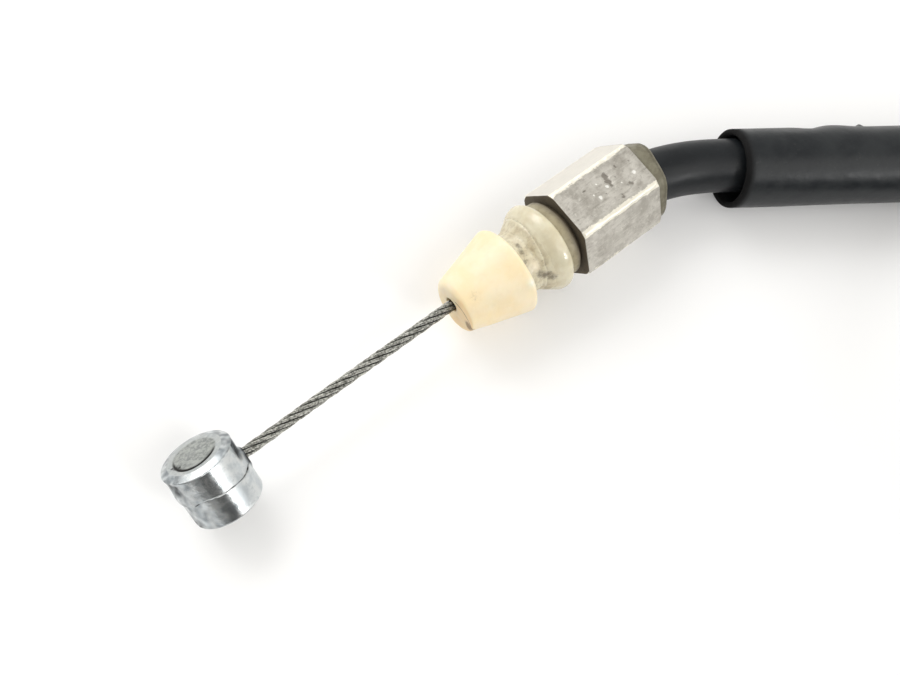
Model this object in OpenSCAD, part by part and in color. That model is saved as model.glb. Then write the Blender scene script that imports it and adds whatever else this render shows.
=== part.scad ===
// Cable release: a wire rope that slides in an armoured conduit under a loose outer sleeve.
// Both ends carry the same fitting: a nose cap snapped over a plastic body, a seal ring,
// a hexagon ferrule and a rear bush, with a barrel nipple cast on the end of the wire.
// The origin is the centre of the near ferrule's front face; +X runs along the cable.

/* [Wire and nipples] */
// Diameter of the wire rope
wire_d = 1.25; // [0.8:0.05:1.6]
// Travel of the wire, from drawn out at the near end to pushed in
wire_travel = 26.05; // [12:0.05:26.05]
// Gap between a nipple and the cap it stops against
stop_gap = 0.35; // [0.3:0.05:1]
// Diameter of a nipple's barrels
nipple_d = 7.5; // [6:0.1:9]
// Length of a nipple, across the wire
nipple_l = 7; // [5:0.1:10]
// Chamfer round each end of a nipple
nipple_chamfer = 0.36; // [0.1:0.02:0.6]
// Width of the waist between the two barrels, where the wire goes in
nipple_waist_w = 1.5; // [1.3:0.1:2.5]
// Depth of the waist below the barrels
nipple_waist_depth = 0.05; // [0.03:0.01:0.3]
// Radius of the ring cast into each end face of a nipple
nipple_ring_r = 2.1; // [1:0.1:2.2]
// Width of the cast ring's groove
nipple_ring_w = 0.3; // [0.1:0.05:0.6]
// Depth of the cast ring's groove
nipple_ring_depth = 0.15; // [0.05:0.05:0.4]
// Diameter of the boss where the wire leaves a nipple
nipple_boss_d = 2.3; // [1.8:0.1:3]
// How far the boss stands out from the barrel
nipple_boss_out = 0.35; // [0.2:0.05:0.6]
// How far the wire goes past the middle of its nipple
wire_past_middle = 1.4; // [0.5:0.1:2]
// Clearance round the wire in its nipple
wire_seat_gap = 0.02; // [0.01:0.01:0.05]
// Rise of the near nipple's axis above level, turned about the wire
near_nipple_turn = 42; // [0:1:90]
// Rise of the far nipple's axis above level, turned about the wire
far_nipple_turn = 0; // [0:1:90]

/* [Nose cap] */
// Length of the nose cap
cap_l = 7.6; // [7:0.1:10]
// Diameter of the nose cap at its front
cap_front_d = 6.5; // [6.2:0.1:8]
// Largest diameter of the nose cap, at its rear
cap_rear_d = 10.3; // [8.6:0.1:12]
// Rounding of the nose cap's front edge
cap_front_round = 0.65; // [0.2:0.05:0.9]
// Rounding of the nose cap's rear edge
cap_rear_round = 0.4; // [0.1:0.05:0.6]
// Thickness of the nose cap's front wall
cap_front_wall = 2.4; // [1:0.1:3]
// Diameter of the wire's hole through the cap and the snap body
wire_hole_d = 2.2; // [1.9:0.05:2.6]

/* [Snap body] */
// Diameter of the stem inside the nose cap
stem_d = 5.2; // [4:0.1:5.4]
// Height of the bead that holds the cap on the stem
bead_h = 0.15; // [0.05:0.05:0.3]
// Width of the bead
bead_w = 1.2; // [0.6:0.1:1.6]
// Diameter of the neck, where a forked bracket goes
neck_d = 7.4; // [6:0.1:8]
// Length of the neck
neck_l = 1.85; // [1:0.05:3]
// Largest diameter of the flange
flange_d = 10.5; // [9.4:0.1:11]
// Length of the flange along the axis
flange_l = 3.45; // [3:0.05:5]
// Radius of the flange's rounded crown
crown_r = 1.8; // [1.5:0.1:3]
// Rounding of the flange's rear edge
flange_rear_round = 0.7; // [0.2:0.05:1]
// Slope of the flange's front cone
flange_slope = 35; // [30:1:40]
// Distance from the neck to the moulded step round the front cone
flange_step_at = 0.9; // [0.4:0.1:1.2]
// Height of the moulded step
flange_step_h = 0.12; // [0.05:0.01:0.2]
// Diameter of the spigot inside the ferrule
spigot_d = 7.1; // [6.7:0.1:7.4]
// Clearance round each plastic piece on its seat
fit_gap = 0.05; // [0.02:0.01:0.1]

/* [Seal ring] */
// Radial width of the seal ring
seal_w = 0.95; // [0.8:0.05:1.3]
// Thickness of the seal ring
seal_l = 1.8; // [0.8:0.1:2.5]
// Chamfer of the seal ring's rear edge
seal_chamfer = 0.6; // [0.1:0.05:0.65]

/* [Hexagon ferrule] */
// Width of the hexagon across its flats
hex_af = 10; // [9.5:0.5:11]
// Length of the hexagon
hex_l = 11.1; // [9:0.1:12]
// Depth of the turned chamfer at the hexagon's corners
hex_chamfer = 0.22; // [0.1:0.02:0.4]
// Depth of the spigot's seat in the ferrule
spigot_seat = 2.5; // [1.5:0.1:3]
// Clearance round the conduit in the ferrule and the bush
conduit_gap = 0.06; // [0.03:0.01:0.1]
// Where the ferrule's bore starts to widen for the bend of the conduit
flare_start = 7.4; // [5:0.1:7.4]
// Diameter of the ferrule's bore at its rear mouth
flare_d = 7.3; // [7:0.1:8]

/* [Rear bush] */
// Length of the rear bush behind the ferrule
bush_l = 2.2; // [1:0.1:2.4]
// Width of the rear bush across its flats
bush_af = 8.9; // [8.6:0.1:9.2]
// Diameter across the rear bush's round corners, next to the ferrule
bush_front_d = 9.6; // [9.3:0.1:9.9]
// Diameter across its round corners at its rear edge
bush_rear_d = 9.2; // [8.8:0.1:9.3]
// Rounding of the rear bush's rear edge
bush_round = 0.5; // [0.1:0.1:0.6]

/* [Cable layers] */
// Outer diameter of the loose outer sleeve
sleeve_d = 9.2; // [8.8:0.1:9.2]
// Wall of the outer sleeve
sleeve_wall = 0.7; // [0.5:0.1:0.8]
// Outer diameter of the conduit's plastic jacket
conduit_d = 6.2; // [6:0.05:6.2]
// Wall of the jacket
jacket_wall = 0.65; // [0.4:0.05:0.7]
// Radial room between one layer of the conduit and the next
layer_gap = 0.12; // [0.1:0.01:0.15]
// Thickness of the steel armour winding
armour_wall = 0.8; // [0.6:0.05:0.85]
// Wall of the liner that the wire slides in
liner_wall = 0.35; // [0.25:0.05:0.38]

/* [Coil] */
// Diameter of the coil across the middle of its turns
coil_d = 96; // [92:1:110]
// Free gap between neighbouring turns and between the layers
turn_gap = 0.6; // [0.5:0.05:1.5]

/* [Hidden] */

$fn = 96;
overshoot = 1;                 // how far a cutter runs past the face it opens
arc_steps = 6;                 // straight steps in a rounded edge
run_sides = 12;                // sides of the layers that show where the cable isn't coiled
core_sides = 8;                // sides of the hidden layers there
coil_sides = 6;                // sides of every layer in the coil
rings_per_turn = 24;           // rings in one turn of the coil

// Stations along a fitting, from its hexagon's front face
flange_rear_x = -seal_l;
neck_rear_x = flange_rear_x - flange_l;
cap_rear_x = neck_rear_x - neck_l;
cap_front_x = cap_rear_x - cap_l;
stem_front_x = cap_front_x + cap_front_wall + fit_gap;
conduit_seat_x = spigot_seat;
bead_x = (stem_front_x + cap_rear_x) / 2;

// Stations of the wire
wire_mouth_depth = 0.3;        // the exposed wire ends this far inside the cap at rest
wire_mouth_x = cap_front_x + wire_mouth_depth;
wire_inner_x = wire_mouth_x + wire_travel;
nipple_reach = nipple_d / 2 + nipple_boss_out;
pushed_nipple_x = cap_front_x - stop_gap - nipple_reach;
drawn_nipple_x = pushed_nipple_x - wire_travel;

// Radii of the cable's layers, from the outside in
sleeve_r = sleeve_d / 2;
sleeve_bore_r = sleeve_r - sleeve_wall;
jacket_r = conduit_d / 2;
jacket_bore_r = jacket_r - jacket_wall;
armour_r = jacket_bore_r - layer_gap;
armour_bore_r = armour_r - armour_wall;
liner_r = armour_bore_r - layer_gap;
liner_bore_r = liner_r - liner_wall;

// Route of the cable, each point [x, y, z], chosen by hand up to the coil
run_heading = -33;             // direction of the straight run, seen from above
lay_z = -0.55;                 // height of the cable's middle where it lies down
coil_start = [91.5, -50, lay_z];
near_route = [
    [wire_mouth_x, 0, 0], [-6, 0, 0], [conduit_seat_x, 0, 0], [5, 0, 0], [7.5, 0, 0],
    [9.5, -0.08, 0], [11.5, -0.34, 0], [13.5, -0.76, 0], [15.5, -1.37, -0.1],
    [17.5, -2.18, -0.25], [19.5, -3.22, -0.4], [21.5, -4.47, -0.5], [23, -5.45, lay_z],
    [27, -8.05, lay_z], [33, -11.95, lay_z], [45, -19.75, lay_z], [60, -29.5, lay_z],
    [75, -39.2, lay_z]
];
near_bush_at = 6;              // the near bush sits between this point and the next

// The coil spirals in on the lower layer, climbs in the half turn where it reverses,
// and spirals out again on the upper layer
coil_turns = 2.5;
turn_step = sleeve_d + turn_gap;
coil_angle = 360 * coil_turns;
coil_min_r = coil_d / 2 - turn_step * coil_turns / 4;
coil_end_r = coil_min_r + turn_step * coil_turns / 2;
coil_entry = run_heading + 90; // angle of the coil's first point about its centre
coil_centre = [
    coil_start.x - coil_end_r * cos(coil_entry),
    coil_start.y - coil_end_r * sin(coil_entry)
];
function climb(u) = let (c = max(0, min(1, u))) c * c * (3 - 2 * c);
function coil_point(turned) =
    let (
        r = coil_min_r + turn_step * abs(turned - coil_angle / 2) / 360,
        at = coil_entry - turned,
        rise = turn_step * climb((turned - coil_angle / 2) / 180 + 0.5)
    )
    [coil_centre.x + r * cos(at), coil_centre.y + r * sin(at), lay_z + rise];
coil_rings = rings_per_turn * coil_turns;
coil_route = [for (i = [0:coil_rings]) coil_point(i * coil_angle / coil_rings)];

// The far run comes down off the coil in a straight line seen from above. Its points are
// [distance from the far hexagon's front face, height], chosen by hand
far_run = 80;
far_heading = run_heading - coil_angle + 180;
far_direction = [cos(far_heading), sin(far_heading), 0];
coil_end = coil_route[coil_rings];
far_origin = [coil_end.x, coil_end.y, 0] - far_run * far_direction;
far_profile = [
    [72, 8.7], [64, 7.6], [56, 6], [48, 4], [40, 2.2], [33, 0.8], [28, 0], [23, -0.4],
    [19, -0.3], [16, -0.1], [14, 0], [wire_inner_x, 0], [7.5, 0], [conduit_seat_x, 0]
];
far_route = [for (p = far_profile) far_origin + p.x * far_direction + [0, 0, p.y]];

// The whole cable as one list, with the places where its nodes begin and end
cable = concat(near_route, coil_route, far_route);
conduit_first = 2;
sleeve_first = 12;
coil_first = len(near_route);
coil_last = coil_first + coil_rings;
sleeve_last = coil_last + 8;
wire_last = coil_last + 12;
conduit_last = len(cable) - 1;

// Length along the cable from one of its points to another
function route_length(from, to) =
    from >= to ? 0 : norm(cable[from + 1] - cable[from]) + route_length(from + 1, to);

// Distance from point p to the straight piece from a to b
function to_segment(p, a, b) =
    let (s = max(0, min(1, (p - a) * (b - a) / ((b - a) * (b - a))))) norm(a + s * (b - a) - p);

// Least distance between the middles of two turns of the coil, half a turn or more apart
function turn_distance() = min([
    for (i = [coil_first:coil_last], j = [i + rings_per_turn / 2:coil_last - 1])
        to_segment(cable[i], cable[j], cable[j + 1])
]);

echo(str("conduit length, mm: ", route_length(conduit_first, conduit_last)));
echo(str("least gap between turns of the coil, mm: ", turn_distance() - sleeve_d));

// Points of an arc about centre c, from angle a to angle b
function arc(c, r, a, b) =
    [for (i = [0:arc_steps]) let (t = a + (b - a) * i / arc_steps) c + r * [cos(t), sin(t)]];

// Turns an outline of [x, radius] points about the X axis
module revolve_x(outline) {
    rotate([0, 90, 0])
        rotate_extrude()
            polygon([for (p = outline) [p.y, p.x]]);
}

// A cylinder along X, from x0 to x1
module rod_x(x0, x1, r) {
    translate([x0, 0, 0])
        rotate([0, 90, 0])
            cylinder(h = x1 - x0, r = r);
}

// A hexagon prism along X from x0 to x1, with two of its flats level
module hexagon_x(x0, x1, af) {
    translate([x0, 0, 0])
        rotate([0, 90, 0])
            rotate([0, 0, 30])
                linear_extrude(x1 - x0)
                    circle(r = af / 2 / cos(30), $fn = 6);
}

// Puts a fitting's piece at the far end of the cable
module at_far_end() {
    translate(far_origin)
        rotate([0, 0, far_heading])
            children();
}

// ---- Pieces of one end, in the fitting's own frame ----

// Half of a nipple's outline as [radius, height], from its middle to its end face
function nipple_half() =
    let (r = nipple_d / 2, top = nipple_l / 2, ring = nipple_ring_w / 2)
    [
        [r - nipple_waist_depth, 0],
        [r - nipple_waist_depth, nipple_waist_w / 2],
        [r, nipple_waist_w / 2],
        [r, top - nipple_chamfer],
        [r - nipple_chamfer, top],
        [nipple_ring_r + ring, top],
        [nipple_ring_r + ring, top - nipple_ring_depth],
        [nipple_ring_r - ring, top - nipple_ring_depth],
        [nipple_ring_r - ring, top],
        [0, top]
    ];

// Barrel nipple across the wire, with its boss and the blind hole that the wire is cast into
module nipple(middle_x, turn) {
    half = nipple_half();
    last = len(half) - 1;
    outline = concat(half, [for (i = [last:-1:1]) [half[i].x, -half[i].y]]);
    color([0.65, 0.66, 0.64])
        difference() {
            union() {
                translate([middle_x, 0, 0])
                    rotate([turn - 90, 0, 0])
                        rotate_extrude()
                            polygon(outline);
                rod_x(middle_x, middle_x + nipple_reach, nipple_boss_d / 2);
            }
            rod_x(
                middle_x - wire_past_middle - wire_seat_gap,
                middle_x + nipple_reach + overshoot,
                wire_d / 2 + wire_seat_gap
            );
        }
}

// The moving wire's straight end, from inside its nipple to x1
module wire_end(nipple_x, x1) {
    color([0.5, 0.51, 0.5])
        rod_x(nipple_x - wire_past_middle, x1, wire_d / 2);
}

// Tapered nose cap, hollow to snap over the body's stem
module nose_cap() {
    bore_r = stem_d / 2 + fit_gap;
    floor_x = cap_front_x + cap_front_wall;
    front = [cap_front_x + cap_front_round, cap_front_d / 2 - cap_front_round];
    rear = [cap_rear_x - cap_rear_round, cap_rear_d / 2 - cap_rear_round];
    span = rear - front;
    taper = atan2(span.y, span.x) + asin((cap_rear_round - cap_front_round) / norm(span));
    color([0.97, 0.93, 0.79])
        revolve_x(concat(
            [[cap_front_x, wire_hole_d / 2]],
            arc(front, cap_front_round, 180, 90 + taper),
            arc(rear, cap_rear_round, 90 + taper, 0),
            [
                [cap_rear_x, bore_r],
                [bead_x + bead_w / 2 + fit_gap, bore_r],
                [bead_x, bore_r + bead_h],
                [bead_x - bead_w / 2 - fit_gap, bore_r],
                [floor_x, bore_r],
                [floor_x, wire_hole_d / 2]
            ]
        ));
}

// Snap body: beaded stem, neck, rounded flange and spigot round one through hole
module snap_body() {
    stem_r = stem_d / 2;
    neck_r = neck_d / 2;
    crown_x = flange_rear_x - flange_rear_round;
    step_x = neck_rear_x + flange_step_at;
    step_r = neck_r + flange_step_at * tan(flange_slope);
    color([0.84, 0.81, 0.7])
        revolve_x(concat(
            [
                [stem_front_x, wire_hole_d / 2],
                [stem_front_x, stem_r - bead_h],
                [stem_front_x + bead_h, stem_r],
                [bead_x - bead_w / 2, stem_r],
                [bead_x, stem_r + bead_h],
                [bead_x + bead_w / 2, stem_r],
                [cap_rear_x, stem_r],
                [cap_rear_x, neck_r],
                [neck_rear_x, neck_r],
                [step_x, step_r - flange_step_h / 2],
                [step_x, step_r + flange_step_h / 2]
            ],
            arc([crown_x, flange_d / 2 - crown_r], crown_r, 90 + flange_slope, 90),
            arc([crown_x, flange_d / 2 - flange_rear_round], flange_rear_round, 80, 0),
            [
                [flange_rear_x, spigot_d / 2],
                [conduit_seat_x, spigot_d / 2],
                [conduit_seat_x, wire_hole_d / 2]
            ]
        ));
}

// Seal ring between the flange and the ferrule
module seal_ring() {
    bore_r = spigot_d / 2 + fit_gap;
    r = bore_r + seal_w;
    color([0.61, 0.57, 0.47])
        revolve_x([
            [-seal_l, bore_r],
            [-seal_l, r],
            [-seal_chamfer, r],
            [0, r - seal_chamfer],
            [0, bore_r]
        ]);
}

// Hexagon ferrule with the spigot's seat, the conduit's bore and its flared rear mouth
module hex_ferrule() {
    corner_r = hex_af / 2 / cos(30);
    bore_r = conduit_d / 2 + conduit_gap;
    color([0.78, 0.77, 0.74])
        difference() {
            intersection() {
                hexagon_x(0, hex_l, hex_af);
                revolve_x([
                    [0, 0],
                    [0, corner_r - hex_chamfer],
                    [hex_chamfer, corner_r + hex_chamfer],
                    [hex_l - hex_chamfer, corner_r + hex_chamfer],
                    [hex_l, corner_r - hex_chamfer],
                    [hex_l, 0]
                ]);
            }
            rod_x(-overshoot, spigot_seat, spigot_d / 2 + fit_gap);
            rod_x(-overshoot, hex_l + overshoot, bore_r);
            translate([flare_start, 0, 0])
                rotate([0, 90, 0])
                    cylinder(h = hex_l - flare_start, r1 = bore_r, r2 = flare_d / 2);
        }
}

// Six-sided rear bush round the conduit, centred on the point middle with its axis turned
// by heading. Its front is cut square to seat on the ferrule
module rear_bush(middle, heading) {
    bore_r = conduit_d / 2 + conduit_gap;
    rear_x = hex_l + bush_l - middle.x;
    front_x = -bush_l;
    color([0.47, 0.46, 0.39])
        intersection() {
            translate(middle)
                rotate([0, 0, heading])
                    intersection() {
                        revolve_x(concat(
                            [[front_x, bore_r], [front_x, bush_front_d / 2]],
                            arc([rear_x - bush_round, bush_rear_d / 2 - bush_round], bush_round, 80, 0),
                            [[rear_x, bore_r]]
                        ));
                        hexagon_x(front_x - overshoot, rear_x + overshoot, bush_af);
                    }
            translate([hex_l, -bush_front_d, -bush_front_d])
                cube([2 * bush_l, 2 * bush_front_d, 2 * bush_front_d]);
        }
}

// ---- The cable's layers ----

// Ring of n points at radius r, square to the cable at its point i
function ring(i, r, n) =
    let (
        ahead = cable[min(i + 1, conduit_last)],
        behind = cable[max(i - 1, 0)],
        t = (ahead - behind) / norm(ahead - behind),
        across = cross([0, 0, 1], t),
        side = across / norm(across),
        up = cross(t, side)
    )
    [for (k = [0:n - 1]) let (a = 90 + 360 * k / n) cable[i] + r * (cos(a) * side + sin(a) * up)];

// Triangles round the wall between rings of n points, the first point numbered base
function wall(base, rings, n) = [
    for (i = [0:rings - 2], k = [0:n - 1])
        let (a = base + i * n + k, b = base + i * n + (k + 1) % n)
        each [[a, b + n, b], [a, a + n, b + n]]
];

// The same list of triangles with each one facing the other way
function flipped(faces) = [for (f = faces) [f[0], f[2], f[1]]];

// Tube along the cable from point first to point last
module tube(first, last, outer_r, inner_r, n) {
    rings = last - first + 1;
    inner = rings * n;
    end = inner - n;
    points = concat(
        [for (i = [first:last]) each ring(i, outer_r, n)],
        [for (i = [first:last]) each ring(i, inner_r, n)]
    );
    mouth = [
        for (k = [0:n - 1])
            let (b = (k + 1) % n)
            each [[k, inner + b, inner + k], [k, b, inner + b]]
    ];
    tail = [
        for (k = [0:n - 1])
            let (a = end + k, b = end + (k + 1) % n)
            each [[a, inner + b, b], [a, inner + a, inner + b]]
    ];
    polyhedron(points, concat(wall(0, rings, n), flipped(wall(inner, rings, n)), mouth, tail));
}

// Solid rod along the cable from point first to point last
module rod(first, last, r, n) {
    rings = last - first + 1;
    end = (rings - 1) * n;
    points = [for (i = [first:last]) each ring(i, r, n)];
    mouth = [for (k = [1:n - 2]) [0, k, k + 1]];
    tail = [for (k = [1:n - 2]) [end, end + k + 1, end + k]];
    polyhedron(points, concat(wall(0, rings, n), mouth, tail));
}

module sleeve(first, last, n) {
    color([0.2, 0.21, 0.22])
        tube(first, last, sleeve_r, sleeve_bore_r, n);
}

module jacket(first, last, n) {
    color([0.22, 0.23, 0.25])
        tube(first, last, jacket_r, jacket_bore_r, n);
}

module armour(first, last, n) {
    color([0.6, 0.61, 0.62])
        tube(first, last, armour_r, armour_bore_r, n);
}

module liner(first, last, n) {
    color([0.92, 0.92, 0.9])
        tube(first, last, liner_r, liner_bore_r, n);
}

module inner_wire(first, last, n) {
    color([0.5, 0.51, 0.5])
        rod(first, last, wire_d / 2, n);
}

// ---- Nodes ----

module near_nipple() { nipple(drawn_nipple_x, near_nipple_turn); }
module near_wire() { wire_end(drawn_nipple_x, wire_mouth_x); }
module near_rear_bush() {
    seat = (near_route[near_bush_at] + near_route[near_bush_at + 1]) / 2;
    along = near_route[near_bush_at + 1] - near_route[near_bush_at];
    rear_bush(seat, atan2(along.y, along.x));
}
module far_nipple() { at_far_end() nipple(pushed_nipple_x, far_nipple_turn); }
module far_wire() { at_far_end() wire_end(pushed_nipple_x, wire_inner_x); }
module far_rear_bush() { at_far_end() rear_bush([hex_l + bush_l / 2, 0, 0], 0); }

near_nipple();
near_wire();
nose_cap();  // near_nose_cap
snap_body();  // near_snap_body
seal_ring();  // near_seal_ring
hex_ferrule();  // near_hex_ferrule
near_rear_bush();
far_nipple();
far_wire();
at_far_end() nose_cap();  // far_nose_cap
at_far_end() snap_body();  // far_snap_body
at_far_end() seal_ring();  // far_seal_ring
at_far_end() hex_ferrule();  // far_hex_ferrule
far_rear_bush();
sleeve(sleeve_first, coil_first, run_sides);  // sleeve_near_run
sleeve(coil_first, coil_last, coil_sides);  // sleeve_coil
sleeve(coil_last, sleeve_last, run_sides);  // sleeve_far_run
jacket(conduit_first, coil_first, run_sides);  // jacket_near_run
jacket(coil_first, coil_last, coil_sides);  // jacket_coil
jacket(coil_last, conduit_last, run_sides);  // jacket_far_run
armour(conduit_first, coil_first, core_sides);  // armour_near_run
armour(coil_first, coil_last, coil_sides);  // armour_coil
armour(coil_last, conduit_last, core_sides);  // armour_far_run
liner(conduit_first, coil_first, core_sides);  // liner_near_run
liner(coil_first, coil_last, coil_sides);  // liner_coil
liner(coil_last, conduit_last, core_sides);  // liner_far_run
inner_wire(0, coil_first, core_sides);  // wire_near_run
inner_wire(coil_first, coil_last, coil_sides);  // wire_coil
inner_wire(coil_last, wire_last, core_sides);  // wire_far_run
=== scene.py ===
"""Looks of the release cable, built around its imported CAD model."""
from math import atan2, ceil, copysign, cos, degrees, dist, exp, hypot, pi, radians, sin, sqrt

import bpy
from mathutils import Matrix, Vector, noise


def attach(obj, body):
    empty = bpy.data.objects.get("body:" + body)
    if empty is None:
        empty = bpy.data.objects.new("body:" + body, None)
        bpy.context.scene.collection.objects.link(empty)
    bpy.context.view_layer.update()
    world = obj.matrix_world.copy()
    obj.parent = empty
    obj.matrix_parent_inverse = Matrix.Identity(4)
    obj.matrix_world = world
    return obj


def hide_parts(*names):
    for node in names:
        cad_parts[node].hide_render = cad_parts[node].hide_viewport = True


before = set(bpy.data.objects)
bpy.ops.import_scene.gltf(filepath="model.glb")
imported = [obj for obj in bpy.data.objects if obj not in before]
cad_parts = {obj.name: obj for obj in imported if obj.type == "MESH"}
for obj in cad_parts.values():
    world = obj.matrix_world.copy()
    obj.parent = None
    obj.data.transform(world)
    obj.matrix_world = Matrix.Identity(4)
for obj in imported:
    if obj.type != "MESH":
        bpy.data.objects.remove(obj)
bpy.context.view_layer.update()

MM = 0.001
FLOOR_Z = -5.16

# ---- Camera ----

CAMERA_AT = (-47.5377, -20.2569, 97.3717)
CAMERA_RIGHT = (0.77569, -0.61780, 0.12895)
CAMERA_UP = (0.55853, 0.76714, 0.31551)
CAMERA_BACK = (-0.29384, -0.17271, 0.94012)
LENS = 39.248
SENSOR = 36


def put(name, data):
    obj = bpy.data.objects.new(name, data)
    bpy.context.scene.collection.objects.link(obj)
    return obj


def make_camera():
    data = bpy.data.cameras.new("camera")
    data.sensor_fit = "HORIZONTAL"
    data.sensor_width = SENSOR
    data.lens = LENS
    data.clip_start = 0.002
    data.clip_end = 10
    camera = put("camera", data)
    turn = Matrix((CAMERA_RIGHT, CAMERA_UP, CAMERA_BACK)).transposed().to_4x4()
    camera.matrix_world = Matrix.Translation(Vector(CAMERA_AT) * MM) @ turn
    bpy.context.scene.camera = camera


# ---- Route of the cable, in millimetres, as the CAD source has it ----

# The far fitting's origin, as the source works it out; so is COIL_CENTRE
FAR_ORIGIN = (-34.5508, -97.2150, 0)
RUN_HEADING = radians(-33)
NEAR = Matrix.Identity(4)
FAR = Matrix.Translation(FAR_ORIGIN) @ Matrix.Rotation(RUN_HEADING, 4, "Z")
LAY_Z = -0.55
SEAT_X = 2.5
SLEEVE_X = 23
SLEEVE_START = (SLEEVE_X, -5.45, LAY_Z)
SLEEVE_END = (SLEEVE_X, 0, -0.4)
NEAR_ROUTE = [
    (SEAT_X, 0, 0), (5, 0, 0), (7.5, 0, 0), (9.5, -0.08, 0), (11.5, -0.34, 0),
    (13.5, -0.76, 0), (15.5, -1.37, -0.1), (17.5, -2.18, -0.25), (19.5, -3.22, -0.4),
    (21.5, -4.47, -0.5), SLEEVE_START, (27, -8.05, LAY_Z),
    (33, -11.95, LAY_Z), (45, -19.75, LAY_Z), (60, -29.5, LAY_Z), (75, -39.2, LAY_Z),
]
# The far run as (x, z) from the far fitting's origin
FAR_PROFILE = [
    (72, 8.7), (64, 7.6), (56, 6), (48, 4), (40, 2.2), (33, 0.8), (28, 0), SLEEVE_END[::2],
    (19, -0.3), (16, -0.1), (14, 0), (12, 0), (7.5, 0), (5, 0), (SEAT_X, 0),
]
COIL_TURNS = 2.5
COIL_STEP = 9.8
COIL_MIN_R = 48 - COIL_STEP * COIL_TURNS / 4
COIL_CENTRE = (62.0214, -95.3930)
COIL_ENTRY = 57
RINGS_A_TURN = 48
ROUTE_STEP = 0.5


def climb(u):
    """A smooth step from 0 to 1, between u of 0 and 1."""
    u = max(0, min(1, u))
    return u * u * (3 - 2 * u)


def coil_point(wound):
    """After so many degrees: inwards on the floor, up a layer at half its turns and outwards again."""
    half = 180 * COIL_TURNS
    radius = COIL_MIN_R + COIL_STEP * abs(wound - half) / 360
    angle = radians(COIL_ENTRY - wound)
    x, y = COIL_CENTRE
    height = LAY_Z + COIL_STEP * climb((wound - half) / 180 + 0.5)
    return x + radius * cos(angle), y + radius * sin(angle), height


def route_points():
    steps = round(COIL_TURNS * RINGS_A_TURN)
    coil = [coil_point(360 * i / RINGS_A_TURN) for i in range(steps + 1)]
    far = [FAR @ Vector((x, 0, z)) for x, z in FAR_PROFILE]
    return [Vector(p) for p in NEAR_ROUTE + coil] + far


def smooth_route(points):
    """A centripetal Catmull-Rom curve through the points, about ROUTE_STEP a step."""
    ends = [2 * points[0] - points[1], *points, 2 * points[-1] - points[-2]]
    out = []
    for a, b, c, d in zip(ends, ends[1:], ends[2:], ends[3:]):
        t1 = sqrt((b - a).length)
        t2 = t1 + sqrt((c - b).length)
        t3 = t2 + sqrt((d - c).length)
        steps = max(2, round((c - b).length / ROUTE_STEP))
        for i in range(steps):
            t = t1 + (t2 - t1) * i / steps
            p = ((t1 - t) * a + t * b) / t1
            q = ((t2 - t) * b + (t - t1) * c) / (t2 - t1)
            r = ((t3 - t) * c + (t - t2) * d) / (t3 - t2)
            p = ((t2 - t) * p + t * q) / t2
            q = ((t3 - t) * q + (t - t1) * r) / (t3 - t1)
            out.append(((t2 - t) * p + (t - t1) * q) / (t2 - t1))
    return out + [points[-1]]


def travelled(line):
    """Distance along a line at each of its points."""
    out = [0.0]
    for a, b in zip(line, line[1:]):
        out.append(out[-1] + (b - a).length)
    return out


def nearest_index(line, point):
    return min(range(len(line)), key=lambda i: (line[i] - point).length)


def thinned(line, fine):
    """Every point of the line that is a step on from the last: fine at first, then coarse."""
    kept, last = [line[0]], 0.0
    for point, at in zip(line[1:-1], travelled(line)[1:-1]):
        if at - last >= (fine if at < FINE_UNTIL else COARSE_STEP):
            kept.append(point)
            last = at
    return kept + [line[-1]]


# ---- Meshes: every piece is a skin through rings of equally many points ----


def loft(name, rings, closed=False, place=NEAR):
    """A skin through rings, closed from the last to the first or capped at both ends."""
    count = len(rings[0])
    starts = [k * count for k in range(len(rings))]
    ends = starts[1:] + (starts[:1] if closed else [])
    turns = list(zip(range(count), [*range(1, count), 0]))
    faces = [(a + i, a + j, b + j, b + i) for a, b in zip(starts, ends) for i, j in turns]
    if not closed:
        faces += [tuple(reversed(range(count))), tuple(range(starts[-1], starts[-1] + count))]
    mesh = bpy.data.meshes.new(name)
    mesh.from_pydata([place @ Vector(p) * MM for ring in rings for p in ring], [], faces)
    mesh.polygons.foreach_set("use_smooth", [True] * len(mesh.polygons))
    mesh.validate()
    return put(name, mesh)


def mark(obj, name, values):
    """Keeps a number for each vertex, which the material reads."""
    layer = obj.data.attributes.new(name, "FLOAT", "POINT")
    layer.data.foreach_set("value", values)


def marked_loft(name, made, keys, place, closed=True):
    """A loft through rings of (point, its marks), with each mark kept under its key."""
    obj = loft(name, [[point for point, _ in ring] for ring in made], closed, place)
    rows = [marks for ring in made for _, marks in ring]
    for key, values in zip(keys, zip(*rows)):
        mark(obj, key, values)
    return obj


def dressed(obj, look, body, slot, *nodes):
    obj.data.materials.append(look)
    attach(obj, body)
    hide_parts(*nodes)


def span(first, last, parts):
    """Evenly spaced points from first to last, without first itself."""
    return [tuple(a + (b - a) * i / parts for a, b in zip(first, last)) for i in range(1, parts + 1)]


def filled(outline, step):
    """The outline with points added where two stand further apart than step."""
    out = [outline[0]]
    for first, last in zip(outline, outline[1:]):
        out += span(first, last, max(1, ceil(dist(first, last) / step)))
    return out


def arc(x, r, radius, first, last, parts):
    """Points of an arc round (x, r), from the first to the last angle in degrees."""
    turns = [radians(first + (last - first) * i / parts) for i in range(parts + 1)]
    return [(x + radius * cos(t), r + radius * sin(t)) for t in turns]


def around(count):
    return [2 * pi * i / count for i in range(count)]


def turned(x, r, a):
    """The point at radius r and angle a round the X axis."""
    return x, r * cos(a), r * sin(a)


def swell(value, middle, width):
    """A bell curve, 1 at its middle."""
    return exp(-(((value - middle) / width) ** 2))


def angle_gap(a, b):
    return abs((a - b + pi) % (2 * pi) - pi)


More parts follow.
